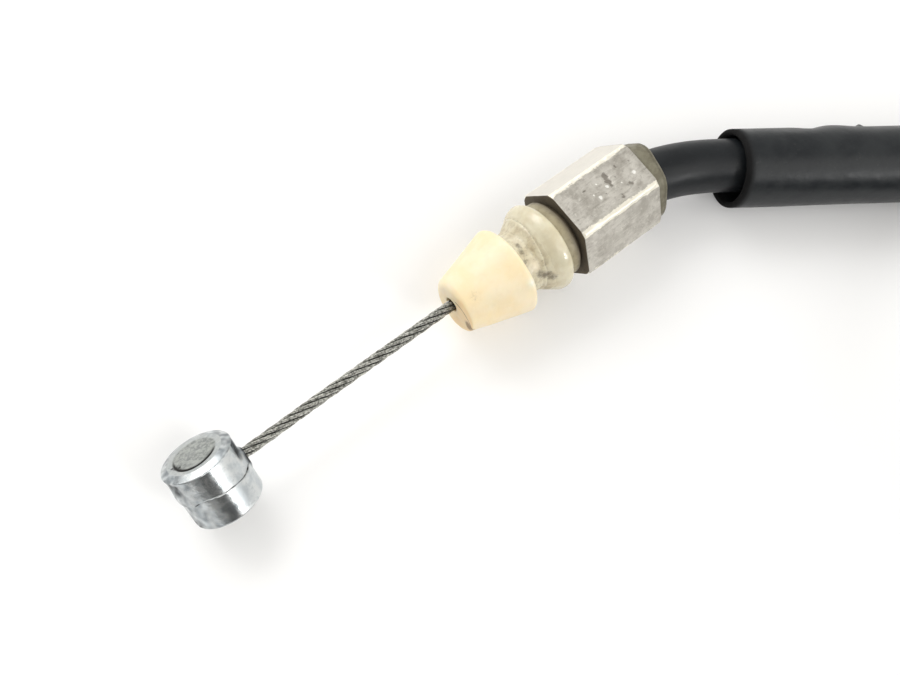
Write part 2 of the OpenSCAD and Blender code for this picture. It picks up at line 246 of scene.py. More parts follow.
def between(table, at):
    """The value at a place along a table of (place, value), turning smoothly from one to the next."""
    for (x0, v0), (x1, v1) in zip(table, table[1:]):
        if at <= x1:
            return v0 + (v1 - v0) * climb((at - x0) / (x1 - x0))
    return table[-1][1]


def rough(point, size, seed=0.0):
    return noise.noise(Vector(point) / size + Vector((seed, 3.1 * seed, 7.7 * seed)))


# ---- Materials ----


def tone(red, green, blue):
    """A colour of 0 to 255 a channel, as the shaders take it."""
    part = [c / 255 for c in (red, green, blue)]
    line = [c / 12.92 if c < 0.04045 else ((c + 0.055) / 1.055) ** 2.4 for c in part]
    return (*line, 1)


class Shader:
    """A node tree, built up a step at a time."""

    def __init__(self, owner):
        owner.use_nodes = True
        self.tree = owner.node_tree

    def node(self, kind, inputs=None, **settings):
        node = self.tree.nodes.new(kind)
        for key, value in settings.items():
            setattr(node, key, value)
        for key, value in (inputs or {}).items():
            self.feed(node.inputs[key], value)
        return node

    def link(self, source, target):
        self.tree.links.new(source, target)

    def feed(self, target, value):
        if isinstance(value, bpy.types.NodeSocket):
            self.link(value, target)
        else:
            target.default_value = value

    def spread(self, value, low, high, to_low=0.0, to_high=1.0):
        """The value's range from low to high as a smooth step between two others."""
        inputs = {"Value": value, "From Min": low, "From Max": high, "To Min": to_low, "To Max": to_high}
        node = self.node("ShaderNodeMapRange", inputs, interpolation_type="SMOOTHSTEP")
        return node.outputs["Result"]

    def calc(self, operation, *values):
        return self.node("ShaderNodeMath", dict(enumerate(values)), operation=operation).outputs[0]

    def times(self, first, second):
        return self.calc("MULTIPLY", first, second)

    def plus(self, first, second):
        return self.calc("ADD", first, second)

    def blend(self, share, first, second):
        """A number between two."""
        inputs = {0: share, 2: first, 3: second}
        return self.node("ShaderNodeMix", inputs, data_type="FLOAT").outputs[0]

    def mix(self, share, first, second):
        """A colour between two."""
        inputs = {0: share, 6: first, 7: second}
        return self.node("ShaderNodeMix", inputs, data_type="RGBA").outputs[2]


class Look(Shader):
    """One node material, whose base colour is laid up in steps. Its coordinates are in millimetres."""

    def __init__(self, name):
        self.material = bpy.data.materials.new(name)
        super().__init__(self.material)
        self.surface = self.tree.nodes["Principled BSDF"]
        place = self.node("ShaderNodeTexCoord").outputs["Object"]
        scaled = self.node("ShaderNodeVectorMath", {0: place, "Scale": 1 / MM}, operation="SCALE")
        self.at = scaled.outputs[0]

    def set(self, **values):
        """Feeds the base's colour and the values given to the surface."""
        for key, value in dict(values, Base_Color=self.base).items():
            self.feed(self.surface.inputs[key.replace("_", " ")], value)

    def moved(self, operation, vector):
        """The coordinates, multiplied by a vector or as their distance from one."""
        node = self.node("ShaderNodeVectorMath", {0: self.at, 1: vector}, operation=operation)
        return node.outputs["Value" if operation == "DISTANCE" else "Vector"]

    def noise(self, size, detail=3, roughness=0.55, stretch=(1, 1, 1), shift=0.0):
        inputs = {
            "Vector": self.moved("MULTIPLY", stretch),
            "Scale": 1 / size,
            "Detail": detail,
            "Roughness": roughness,
            "Distortion": shift,
        }
        return self.node("ShaderNodeTexNoise", inputs).outputs["Fac"]

    def mark(self, name):
        return self.node("ShaderNodeAttribute", attribute_name=name).outputs["Fac"]

    def torn(self, name, ragged, low, high):
        """A mark with a ragged edge."""
        return self.spread(self.plus(self.mark(name), ragged), low, high)

    def clouded(self, value, first, second, low=0.35, high=0.65):
        """From one colour to another where a value runs from low to high."""
        return self.mix(self.spread(value, low, high), tone(*first), tone(*second))

    def lay(self, share, colour, strength=1):
        """Lays a colour over the base by a share."""
        if strength != 1:
            share = self.times(share, strength)
        self.base = self.mix(share, self.base, tone(*colour))

    def bump(self, *heights):
        """Each height is (value, depth in millimetres)."""
        last = {}
        for value, depth in heights:
            node = self.node("ShaderNodeBump", {"Distance": depth * MM, "Height": value, **last})
            last = {"Normal": node.outputs["Normal"]}
        self.link(last["Normal"], self.surface.inputs["Normal"])


NIPPLE_MARKS = ("face", "groove", "scuff", "frost")


def nipple_look():
    look = Look("nipple_cast_metal")
    cloud = look.noise(1.1, 5, 0.6)
    stain = look.spread(look.noise(0.8, 5, 0.7, shift=0.6), 0.5, 0.72)
    face, groove, scuff, frost = map(look.mark, NIPPLE_MARKS)
    look.base = look.clouded(cloud, (193, 199, 202), (214, 217, 217))
    look.lay(stain, (134, 142, 149), 0.4)
    mottle = look.clouded(look.noise(0.45, 6, 0.7, shift=0.3), (126, 129, 127), (177, 180, 175))
    look.base = look.mix(look.times(face, 0.9), look.base, mottle)
    # scuff darkens dings, the boss and the darker side. It also paints shade: the wedge's shadow and both
    # bevels away from their highlight.
    look.lay(scuff, (80, 87, 92), 0.85)
    # The groove mark darkens the seam, the boss, the dent and the foot. It paints shade in the end face's
    # ring, darkest on one side, and the wedge's shadow.
    look.lay(look.spread(groove, 0.1, 0.9), (40, 40, 39))
    gloss = look.spread(cloud, 0.3, 0.7, 0.15, 0.22)
    for worn, share in ((face, 0.24), (scuff, 0.15), (groove, 0.3), (frost, 0.2)):
        gloss = look.plus(gloss, look.times(worn, share))
    metal = look.calc("SUBTRACT", 1.0, look.times(groove, 0.6))
    look.set(Metallic=metal, Roughness=gloss)
    look.bump((look.noise(0.16, 3, 0.6), 0.004), (look.noise(0.6, 4), 0.012))
    return look.material


def wire_look():
    look = Look("wire_rope_steel")
    worn = look.spread(look.noise(0.26, 5, 0.75), 0.4, 0.58)
    look.base = look.mix(worn, tone(112, 112, 106), tone(200, 200, 193))
    grease = look.spread(look.noise(1.1, 4, 0.65), 0.48, 0.68)
    look.lay(grease, (92, 91, 86), 0.45)
    # Painted shade and grease: darker where a wire lies deep between the strands
    look.lay(look.mark("deep"), (30, 30, 27), 0.9)
    look.set(Metallic=0.9, Roughness=look.spread(worn, 0.0, 1.0, 0.5, 0.36))
    look.bump((look.noise(0.09, 3), 0.006))
    return look.material


def cap_look():
    look = Look("cap_ivory_plastic")
    cloud = look.noise(2.6, 4, 0.55)
    look.base = look.clouded(cloud, (252, 235, 203), (251, 229, 188), 0.35, 0.68)
    smear = look.spread(look.noise(0.9, 5, 0.6, shift=0.5), 0.5, 0.7)
    look.lay(smear, (214, 190, 142), 0.1)
    look.lay(look.mark("face"), (243, 212, 160), 0.8)
    mottle = look.times(look.noise(0.24, 4, 0.7), 0.5)
    # The dirt mark also paints shade round the hole and at the rear rim, where the cap meets the body
    dirt_and_shade = look.torn("dirt_and_shade", mottle, 0.5, 0.95)
    look.lay(dirt_and_shade, (132, 102, 66), 0.85)
    # Painted highlight: the burr at the rear rim is painted near white
    look.lay(look.mark("chip"), (255, 251, 232))
    look.set(
        Roughness=look.spread(cloud, 0.3, 0.7, 0.36, 0.5),
        Subsurface_Weight=0.3,
        Subsurface_Radius=(1.0, 0.75, 0.4),
        Subsurface_Scale=0.0014,
        IOR=1.5,
    )
    look.bump((look.noise(0.6, 3), 0.02), (look.noise(0.12, 3), 0.004))
    return look.material


def body_look():
    look = Look("body_worn_plastic")
    cloud = look.noise(1.7, 4, 0.6)
    look.base = look.clouded(cloud, (224, 217, 190), (214, 204, 174))
    worn = look.mark("worn")
    film = look.spread(look.noise(0.8, 4, 0.6, shift=0.4), 0.38, 0.66)
    look.lay(look.times(worn, film), (176, 161, 128), 0.6)
    scuff = look.spread(look.noise(0.4, 5, 0.7), 0.55, 0.7)
    look.lay(look.times(scuff, worn), (128, 115, 90), 0.45)
    mottle = look.times(look.noise(0.3, 5, 0.75), 0.9)
    # The dirt mark also paints shade in the neck's corners and in the step
    dirt_and_shade = look.torn("dirt_and_shade", mottle, 0.7, 1.2)
    look.lay(dirt_and_shade, (100, 90, 70), 0.85)
    look.lay(look.mark("pale"), (236, 223, 194))
    gloss = look.plus(look.spread(cloud, 0.3, 0.7, 0.17, 0.25), look.times(worn, 0.2))
    look.set(
        Roughness=gloss,
        Subsurface_Weight=0.15,
        Subsurface_Radius=(1.0, 0.8, 0.5),
        Subsurface_Scale=0.0008,
        Specular_IOR_Level=0.9,
    )
    look.bump((look.noise(0.5, 4, 0.6), 0.03), (look.noise(0.1, 3), 0.004))
    return look.material


def seal_look():
    look = Look("seal_tan_rubber")
    cloud = look.noise(0.9, 4, 0.6)
    look.base = look.clouded(cloud, (162, 152, 124), (148, 138, 111))
    grime = look.spread(look.noise(0.3, 4, 0.7), 0.52, 0.7)
    look.lay(grime, (104, 94, 74), 0.4)
    # Painted shade: darker towards the ferrule's face
    look.lay(look.mark("dark"), (92, 83, 68))
    look.set(Roughness=look.spread(cloud, 0.3, 0.7, 0.4, 0.6))
    look.bump((look.noise(0.25, 4), 0.02))
    return look.material


def ferrule_look():
    look = Look("ferrule_worn_aluminium")
    cloud = look.noise(1.5, 6, 0.65)
    drawn = look.noise(0.3, 5, 0.7, stretch=(0.25, 1, 1))
    scratch = look.noise(0.14, 3, 0.6, stretch=(0.06, 1, 1))
    look.base = look.clouded(cloud, (180, 175, 165), (210, 206, 197), 0.34, 0.64)
    look.lay(look.spread(drawn, 0.5, 0.72), (146, 140, 129), 0.5)
    look.lay(look.spread(scratch, 0.5, 0.75), (240, 237, 230), 0.25)
    scuff = look.spread(look.noise(0.5, 6, 0.75, shift=0.5), 0.56, 0.68)
    look.lay(scuff, (244, 241, 232), 0.5)
    pits = look.spread(look.noise(0.36, 4, 0.7, shift=0.7), 0.62, 0.7)
    look.lay(pits, (128, 122, 110), 0.6)
    # Painted light: the flat that faces the light, and a little the one opposite, are painted paler
    look.lay(look.mark("painted_light"), (238, 234, 225))
    ragged = look.times(look.noise(0.22, 4, 0.75), 1.1)
    ding = look.torn("ding", ragged, 0.75, 1.25)
    look.lay(ding, (106, 100, 90), 0.8)
    chip = look.torn("chip", ragged, 0.85, 1.15)
    look.lay(chip, (255, 254, 248))
    ragged = look.times(look.noise(0.4, 5, 0.7, stretch=(0.5, 1, 1)), 1.6)
    # The edges are worn and also painted bright as highlights
    edge = look.torn("edge", ragged, 1.1, 1.35)
    look.lay(edge, (253, 248, 233))
    ragged = look.times(look.noise(0.5, 4, 0.7), 0.35)
    # The grime mark paints dirt and shade on the end faces, in the bores and along the front edge
    stain = look.torn("grime", ragged, 0.45, 0.95)
    look.lay(stain, (98, 89, 74))
    metal = look.calc("SUBTRACT", 0.75, look.times(look.calc("MAXIMUM", stain, ding), 0.6))
    gloss = look.plus(look.spread(cloud, 0.3, 0.7, 0.34, 0.5), look.times(stain, 0.25))
    look.set(Metallic=metal, Roughness=gloss)
    look.bump((look.noise(0.6, 6, 0.7), 0.07), (drawn, 0.03), (scratch, 0.008))
    return look.material


def bush_look():
    look = Look("bush_olive_rubber")
    cloud = look.noise(0.8, 4, 0.6)
    look.base = look.clouded(cloud, (124, 120, 102), (106, 101, 83))
    look.set(Roughness=look.spread(cloud, 0.3, 0.7, 0.45, 0.6))
    look.bump((look.noise(0.3, 4), 0.03))
    return look.material


def black_look(name, dark, pale, gloss, dust_share):
    """Black plastic or rubber with some dust, and painted shade at its marked lip."""
    look = Look(name)
    cloud = look.noise(3.0, 4, 0.6)
    fine = look.noise(0.25, 4, 0.7)
    look.base = look.clouded(cloud, dark, pale)
    dust = look.spread(look.noise(0.6, 5, 0.75, shift=0.4), 0.58, 0.72)
    look.lay(dust, (96, 96, 92), dust_share)
    lip = look.mark("lip")
    # Painted shade: the lip is painted near black, as the shade inside the mouth
    look.lay(lip, (5, 5, 6))
    sheen = look.plus(look.spread(cloud, 0.3, 0.7, *gloss), look.times(lip, 0.5))
    look.set(Roughness=sheen, Specular_IOR_Level=0.3)
    look.bump((look.noise(1.8, 3), 0.05), (fine, 0.005))
    return look.material


def hidden_look(name, first, second, metal, gloss):
    look = Look(name)
    cloud = look.noise(0.5, 3, 0.5)
    look.base = look.clouded(cloud, first, second)
    look.set(Metallic=metal, Roughness=look.spread(cloud, 0.3, 0.7, *gloss))
    look.bump((cloud, 0.02))
    return look.material


# ---- The two cords: conduit jacket and outer sleeve ----

JACKET_R = 3.1
JACKET_BORE = 2.45
SLEEVE_R = 4.6
SLEEVE_BORE = 3.9
# Both have fine rings for this distance from their near ends, and coarse ones from there
FINE_UNTIL = 60
JACKET_STEP = 0.5
SLEEVE_STEP = 0.4
COARSE_STEP = 1.5
CORD_SIDES = 72
RUNS = ("near_run", "coil", "far_run")
# The layers inside the jacket, which stay as the CAD has them: material, two tones, metal, gloss
HIDDEN = {
    "armour": ("armour_wound_steel", (150, 152, 154), (186, 188, 190), 1.0, (0.28, 0.4)),
    "liner": ("liner_white_plastic", (232, 232, 226), (244, 244, 240), 0.0, (0.35, 0.5)),
    "wire": ("wire_greased_steel", (52, 50, 45), (84, 81, 74), 0.7, (0.35, 0.5)),
}


def beside(ahead, a):
    """The direction at angle a round a heading."""
    side = ahead.cross(Vector((0, 0, 1))).normalized()
    return cos(a) * side + sin(a) * side.cross(ahead)


def cross_ring(line, i, radius, shape=None, sides=CORD_SIDES):
    """A ring of points round the line at its i-th point; shape adds to its radius."""
    ahead = (line[min(i + 1, len(line) - 1)] - line[max(i - 1, 0)]).normalized()
    return [
        line[i] + (radius + (shape(i, a) if shape else 0)) * beside(ahead, a) for a in around(sides)
    ]


def tube(name, line, outer, bore, shape):
    """A hollow tube with rounded lips, along the line."""
    last = len(line) - 1
    rings = [cross_ring(line, i, outer, shape) for i in range(last + 1)]
    ahead = (line[-1] - line[-2]).normalized()
    back = (line[0] - line[1]).normalized()
    inner = [cross_ring(line, i, bore) for i in range(last, -1, -1)]
    far_lip = lip_rings(line, last, ahead, outer, bore)
    near_lip = lip_rings(line, 0, back, outer, bore)[::-1]
    return loft(name, rings + far_lip + inner + near_lip, closed=True)


def lip_rings(line, i, out, outer, bore):
    """Half a round over the wall's end, from the outer surface to the bore."""
    lip = (outer - bore) / 2
    rings = []
    for step in range(1, 6):
        turn = pi * step / 6
        radius = (outer + bore) / 2 + lip * cos(turn)
        rings.append([p + out * lip * sin(turn) for p in cross_ring(line, i, radius)])
    return rings


def jacket_shape(i, a):
    """The jacket's slight unevenness."""
    return 0.02 * noise.noise(Vector((i * 0.03, cos(a), sin(a))))


def sleeve_shape(i, a):
    """The sleeve's loose wall, in slow waves."""
    return 0.045 * noise.noise(Vector((i * 0.05, 1.3 * cos(a), 1.3 * sin(a))))


LIFT = Vector((-0.1, 0.3, 0.42))
LIFT_AT = Vector((23.5, -5.8, LAY_Z))
LIFT_SPREAD = 7
MOUTH_SLANT = 0.4
MOUTH_FADE = 3
LIP_REACH = 0.9
MOUTH_TOWARD = Vector((0.4, 0.2, -0.9)).normalized()


def lifted(line):
    """The conduit comes in high, against the far side of the sleeve's mouth."""
    return [p + LIFT * swell((p - LIFT_AT).length, 0, LIFT_SPREAD) for p in line]


def slant_mouth(obj, mouth, ahead):
    """Cuts the sleeve's mouth a little askew, its lower side further out, and marks its lip, which the
    material paints dark as shade.
    """
    lip = []
    for vertex in obj.data.vertices:
        out = vertex.co / MM - mouth
        along = out.dot(ahead)
        near = out.length < 2 * SLEEVE_R
        # The lip mark, which the material paints as shade in the mouth
        lip.append((1 - climb(along / LIP_REACH - 0.1)) * near)
        if near and along < MOUTH_FADE:
            share = out.dot(MOUTH_TOWARD) / SLEEVE_R
            vertex.co -= ahead * MOUTH_SLANT * share * min(1, 1 - along / MOUTH_FADE) * MM
    mark(obj, "lip", lip)


# A dip, a ridge and a burr on the sleeve's far side: distance along it, how far each reaches, height
WRINKLES = [(9.8, 0.9, -0.3), (12.6, 1.6, 0.22), (16.2, 0.2, 0.45)]
WRINKLE_TOWARD = Vector((0.4, 0.62, 0.3)).normalized()


def wrinkle_sleeve(obj, line):
    at = travelled(line)
    for x, size, high in WRINKLES:
        centre = line[min(range(len(line)), key=lambda i: abs(at[i] - x))]
        for vertex in obj.data.vertices:
            out = vertex.co / MM - centre
            if out.length < 3 * size + SLEEVE_R:
                share = swell((out - SLEEVE_R * WRINKLE_TOWARD).length, 0, size * 1.4)
                vertex.co += WRINKLE_TOWARD * high * share * MM


def layer_nodes(layer):
    return [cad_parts[f"{layer}_{run}"] for run in RUNS]


def make_cords():
    route = smooth_route(route_points())
    jacket_line = lifted(thinned(route, JACKET_STEP))
    jacket = tube("conduit_jacket", jacket_line, JACKET_R, JACKET_BORE, jacket_shape)
    look = black_look("jacket_black_plastic", (21, 24, 27), (27, 30, 33), (0.38, 0.48), 0.1)
    dressed(jacket, look, "cable", "jacket_plastic", *(f"jacket_{run}" for run in RUNS))
    first = nearest_index(route, Vector(SLEEVE_START))
    last = nearest_index(route, FAR @ Vector(SLEEVE_END))
    sleeve_line = thinned(route[first : last + 1], SLEEVE_STEP)
    sleeve = tube("outer_sleeve", sleeve_line, SLEEVE_R, SLEEVE_BORE, sleeve_shape)
    slant_mouth(sleeve, sleeve_line[0], (sleeve_line[1] - sleeve_line[0]).normalized())
    wrinkle_sleeve(sleeve, sleeve_line)
    look = black_look("sleeve_black_rubber", (28, 31, 34), (37, 40, 42), (0.32, 0.42), 0.12)
    dressed(sleeve, look, "cable", "sleeve_rubber", *(f"sleeve_{run}" for run in RUNS))


# ---- Wire rope ----

ROPE_R = 0.625
STRAND_R = 0.2
STRAND_ORBIT = ROPE_R - STRAND_R
WIRE_R = STRAND_R / 3
WIRE_ORBIT = STRAND_R - WIRE_R
ROPE_LAY = 11.5
STRAND_LAY = 5.2
ROPE_STEP = 0.3
WIRE_SIDES = 6
# The rope starts this far past the nipple's middle
ROPE_PAST = 1.4
# How far the rope stands aside, as (x, y): a little off the axis at the near end
NEAR_LEAN = [(-47, 0.25), (-45.2, 0.25), (-40.8, 0.3), (-30, 0.38), (-14, 0.38)]
FAR_LEAN = [(-21, 0), (12, 0)]


def strand_centre(x, phase, radius, lean):
    turn = phase + 2 * pi * x / ROPE_LAY
    return Vector((x, between(lean, x) + radius * cos(turn), radius * sin(turn)))


def wire_line(x0, x1, strand, wire, lean):
    """The centre line of one wire: a helix on the helix of its strand."""
    radius = 0 if strand == 0 else STRAND_ORBIT
    phase = pi * strand / 3
    line = []
    for i in range(round((x1 - x0) / ROPE_STEP) + 1):
        x = x0 + i * ROPE_STEP
        middle = strand_centre(x, phase, radius, lean)
        ahead = (strand_centre(x + 0.01, phase, radius, lean) - middle).normalized()
        turn = pi * wire / 3 - 2 * pi * x / STRAND_LAY
        reach = 0 if wire == 0 else WIRE_ORBIT
        line.append(middle + reach * beside(ahead, turn))
    return line


def rope(name, x0, x1, lean, place, body, look, node):
    """Seven strands of seven wires. The mark deep is how far a point lies between the strands; the material
    paints it dark as shade and grease.
    """
    parts = []
    for k in range(49):
        line = wire_line(x0, x1, *divmod(k, 7), lean)
        rings = [cross_ring(line, i, WIRE_R, sides=WIRE_SIDES) for i in range(len(line))]
        part = loft(f"{name}_{k}", rings, place=place)
        reach = [hypot(p.y - between(lean, p.x), p.z) for ring in rings for p in ring]
        mark(part, "deep", [1 - climb((r - 0.4) / 0.17) for r in reach])
        parts.append(part)
    obj = joined(parts, name)
    dressed(obj, look, body, "wire_steel", node)


def joined(parts, name):
    obj = parts[0]
    with bpy.context.temp_override(active_object=obj, selected_editable_objects=parts, object=obj):
        bpy.ops.object.join()
    obj.name = name
    obj.data.name = name
    return obj


# ---- Nipple ----

NIPPLE_R = 3.75
NIPPLE_TOP = 3.5
FLAT_R = 2.84
BARREL_TOP = 3.0
SEAM_REACH = 0.63
NIPPLE_SIDES = 240
# The ring cast in its end face, and where that is deepest and its painted shade darkest
FACE_RING_R = 2.2
FACE_DEEP_AT = radians(-117)
# The boss where the wire comes out: how far it stands out, how far it reaches, its soft edge
BOSS_OUT = 0.35
BOSS_REACH = 0.85
BOSS_FADE = 0.6
# How far the two halves of the mould were out of line
MISMATCH = 0.18
SEAM_WIDTH = 0.1
# The parting line round the barrel: angle in degrees, height
SEAM = [
    (-185, 0.46), (-165, 0), (-141, 0), (-126, 0.31), (-114, 0.35), (-88, 0.1), (-35, -0.27), (175, 0.46),
]
# A dent in the upper edge, and a dented wedge beside the boss, painted dark as a shadow
DING_AT = radians(-165)
DING_HALF = 0.5
DING_Z = 2.0
DING_DEPTH = 0.3
WEDGE_AT = radians(-17)
WEDGE_Z = 2.2
WEDGE_HALF = 0.36
WEDGE_DEPTH = 0.12
# Angles: where the darker foot, the frosted side and the darker side start, and the top edge's bright part,
# outside which that edge is painted with shade
FOOT_FROM = radians(-146)
FROST_FROM = radians(-96)
DARKER_SIDE_FROM = radians(-112)
BRIGHT_AT = radians(-100)
# Dark spots on the end face: angle in degrees, radius, size
FACE_SPOTS = [(-172, 2.15, 0.3), (-162, 1.9, 0.22), (-182, 2.4, 0.2), (-152, 2.15, 0.26)]


def nipple_outline():
    """Half a nipple as (height, radius), from its middle to the middle of its end face."""
    seam = filled([(0, NIPPLE_R), (SEAM_REACH, NIPPLE_R)], 0.035)
    edge = [(2.96, NIPPLE_R), (BARREL_TOP, NIPPLE_R), (3.05, 3.745), (3.1, 3.73), (3.14, 3.7), (3.18, 3.65)]
    edge = filled(edge, 0.02)
    barrel = filled([seam[-1], edge[0]], 0.07)
    end = filled([edge[-1], (3.45, 3.0), (3.48, 2.93), (NIPPLE_TOP, FLAT_R), (NIPPLE_TOP, 0.05)], 0.07)
    return seam + barrel[1:] + edge[1:] + end[1:]


def parting_height(a):
    first = SEAM[0][0]
    return between(SEAM, (degrees(a) - first) % 360 + first)


def face_groove(r, a):
    """How deep and dark the cast ring is, its dark colour a painted shade that is strongest on one side,
    with dark spots where it has filled with dirt.
    """
    ring = 1.3 * swell(r, FACE_RING_R + 0.06 * cos(3 * a), 0.16)
    deep = 0.12 + 0.88 * sqrt(max(0, cos(a - FACE_DEEP_AT)))
    groove = ring * deep
    for angle, at, size in FACE_SPOTS:
        away = dist(turned(0, r, a), turned(0, at, radians(angle)))
        groove = max(groove, 0.9 * swell(away, 0, size))
    return groove


def nipple_point(z, r, a):
    """A point of the casting, with its NIPPLE_MARKS."""
    groove, face, scuff, shift = 0.0, 0.0, 0.0, 0.0
    frost = climb((a - FROST_FROM) / 0.4) * (a < 0)
    hurt = 0.5 + rough((r * cos(a), r * sin(a), z), 0.55, 4)
    if abs(z) >= NIPPLE_TOP - 0.01:
        groove = face_groove(r, a)
        face = 1.0 - 0.5 * climb((r - FACE_RING_R) / 0.2)
        drop = 0.14 * groove + 0.03 * swell(r, 2.8, 0.1) - 0.03 * (r < FACE_RING_R)
        z -= copysign(drop, z)
    elif r > NIPPLE_R - 0.01:
        seam = parting_height(a)
        boss = 1 - climb((hypot(z, NIPPLE_R * angle_gap(a, 0)) - BOSS_REACH) / BOSS_FADE)
        broken = 0.75 + 0.9 * rough((4 * a, 0, 0), 0.6)
        groove = swell(z, seam + 0.02, 0.05) * broken * (1 - boss)
        shift = MISMATCH * climb((seam - z) / SEAM_WIDTH + 0.5) * (1 - boss)
        ding = climb(1.5 - 1.5 * angle_gap(a, DING_AT) / DING_HALF) * climb(1.4 - abs(z - DING_Z) / 0.9)
        # The wedge is a small dent, painted dark as the shadow beside the boss
        wedge = climb(1.6 - 1.6 * angle_gap(a, WEDGE_AT) / WEDGE_HALF) * climb(1.6 - abs(z - WEDGE_Z))
        # Darker in patches on one side of the barrel
        stain = 0.5 * climb((DARKER_SIDE_FROM - a) / 0.3) * (0.9 + 1.3 * rough((4 * a, z, 0), 0.7))
        scuff = max(ding, 1.1 * boss, stain, 1.15 * wedge)
        foot = climb((FOOT_FROM - a) / 0.3) * climb((-z - 1.4) / 1.2)
        dark = max(0.75 * boss, 0.65 * wedge, 0.6 * ding, 0.65 * foot)
        groove = max(groove, dark * climb(0.3 + hurt))
        r += BOSS_OUT * boss - 0.05 * groove - DING_DEPTH * ding - WEDGE_DEPTH * wedge
    elif z > 0:
        # Painted shade: the top bevel is darkened in patches, except at its bright part, where the highlight
        # falls
        scuff = 0.75 * climb((angle_gap(a, BRIGHT_AT) - 0.55) / 0.35) * climb(hurt)
        groove = 0.5 * swell(r, NIPPLE_R, 0.12) * climb(2.6 * (hurt - 0.75))
    else:
        shift = MISMATCH
        # Painted shade on the bottom bevel, on one side
        scuff = 0.8 * climb(0.5 + 2.2 * cos(a - radians(-150))) * climb((-z - BARREL_TOP) / 0.15)
    where = Vector((r * cos(a), r * sin(a), z))
    r += 0.008 * noise.noise(where * 1.4) + 0.001 * noise.noise(where * 6)
    return (r * cos(a) + shift, r * sin(a), z), (face, groove, scuff, frost)


def nipple(name, place, body, look, node):
    half = nipple_outline()
    outline = [(-z, r) for z, r in reversed(half)] + half[1:]
    made = [[nipple_point(z, r, a - pi) for a in around(NIPPLE_SIDES)] for z, r in outline]
    obj = marked_loft(name, made, NIPPLE_MARKS, place, closed=False)
    dressed(obj, look, body, "nipple_metal", node)


# ---- Turned plastic pieces ----

TURNED_SIDES = 240
CAP_FRONT = -14.7
CAP_REAR = -7.1
CAP_TAPER = 16.1
CAP_FLAT_R = 2.6
CAP_ROUND = 0.65
CAP_ROUND_SPREAD = 0.35
CAP_REAR_R = 5.15
CAP_REAR_ROUND = 0.4
CAP_SKIN_R = 4.4
CAP_BORE = 2.65
CAP_FLOOR = -12.3
HOLE_R = 0.82
NEAR_HOLE = (0.43, 0.08)
FAR_HOLE = (0, 0)
# A scratch on the cap's front face: its centre (y, z), its radius, and where it runs in degrees
SCRATCH_CENTRE = (-0.65, -1.0)
SCRATCH_R = 2.6
SCRATCH_FROM, SCRATCH_TO = 72, 175
SCRATCH_WIDTH = 0.11
SMUDGE = (-2.55, 0.05)
SMUDGE_R = 0.75
# A small raised burr at the rear rim, painted bright as a highlight: its x and angle
BURR_GLINT_AT = (-7.62, radians(132))
STAIN_X, STAIN_AT = -13.2, radians(106)


def cap_outline(front_round):
    """Half the cap's section as (x, radius), for one rounding of its front edge."""
    slope = radians(CAP_TAPER)
    flat = CAP_FLAT_R + (CAP_ROUND - front_round) * (1 - sin(slope)) / cos(slope)
    front = arc(CAP_FRONT + front_round, flat, front_round, 180, 90 + CAP_TAPER, 10)
    rear_x, rear_r = CAP_REAR - CAP_REAR_ROUND, CAP_REAR_R - CAP_REAR_ROUND
    rear = arc(rear_x, rear_r, CAP_REAR_ROUND, 90 + CAP_TAPER, 0, 8)
    out = [(CAP_FLOOR, HOLE_R)] + span((CAP_FLOOR, HOLE_R), (CAP_FRONT + 0.1, HOLE_R), 6)
    out += arc(CAP_FRONT + 0.1, HOLE_R + 0.1, 0.1, 270, 180, 4)[1:]
    out += span(out[-1], front[0], 28) + front[1:]
    out += span(front[-1], rear[0], 60) + rear[1:]
    out += span(rear[-1], (CAP_REAR, CAP_BORE), 14) + [(CAP_FLOOR, CAP_BORE)]
    return out


def cap_point(x, r, a, hole):
    """A point of the cap, moved towards its off-centre hole and made a little uneven, and its chip: a small
    raised burr, painted bright as a highlight.
    """
    where = Vector(turned(x, 4, a))
    share = 1 - climb((r - HOLE_R - 0.1) / 1.3)
    if r > HOLE_R + 0.2:
        x += 0.05 * noise.noise(where * 0.5)
        r += 0.07 * noise.noise(where * 0.35)
    chip = swell(hypot(x - BURR_GLINT_AT[0], CAP_REAR_R * angle_gap(a, BURR_GLINT_AT[1])), 0, 0.45)
    r += 0.16 * chip * (r > CAP_SKIN_R)
    return (x, r * cos(a) + hole[0] * share, r * sin(a) + hole[1] * share), chip


def cap_dirt_and_shade(x, y, z, r, hole):
    """Dirt and painted shade on the cap: painted shade and dirt round its hole, a scratch and a smudge on
    its face, and painted contact shade and dirt at its rear rim.
    """
    face = x < CAP_FRONT + 0.35
    # Painted shade and dirt round the hole
    mouth = 1 - climb((hypot(y - hole[0], z - hole[1]) - HOLE_R - 0.05) / 0.3)
    dy, dz = y - SCRATCH_CENTRE[0], z - SCRATCH_CENTRE[1]
    runs = SCRATCH_FROM < degrees(atan2(dz, dy)) < SCRATCH_TO
    scratch = swell(hypot(dy, dz), SCRATCH_R, SCRATCH_WIDTH) * runs
    ny, nz = y - SMUDGE[0], z - SMUDGE[1]
    smudge = swell(hypot(ny, nz - 0.35 * ny), 0, SMUDGE_R)
    smudge *= 1 - climb((x - CAP_FRONT - 0.3) / 0.5)
    # Painted contact shade and dirt at the rear rim, against the body
    rim = 0.7 * swell(x, CAP_REAR, 0.06) * (r > 3.6)
    stain = swell(x, STAIN_X, 1.1) * swell(angle_gap(atan2(z, y), STAIN_AT), 0, 0.4)
    stain *= 0.34 * (r > CAP_FLAT_R)
    return max(0.4 * mouth * face, 0.72 * scratch * face, 0.8 * smudge, rim, stain)


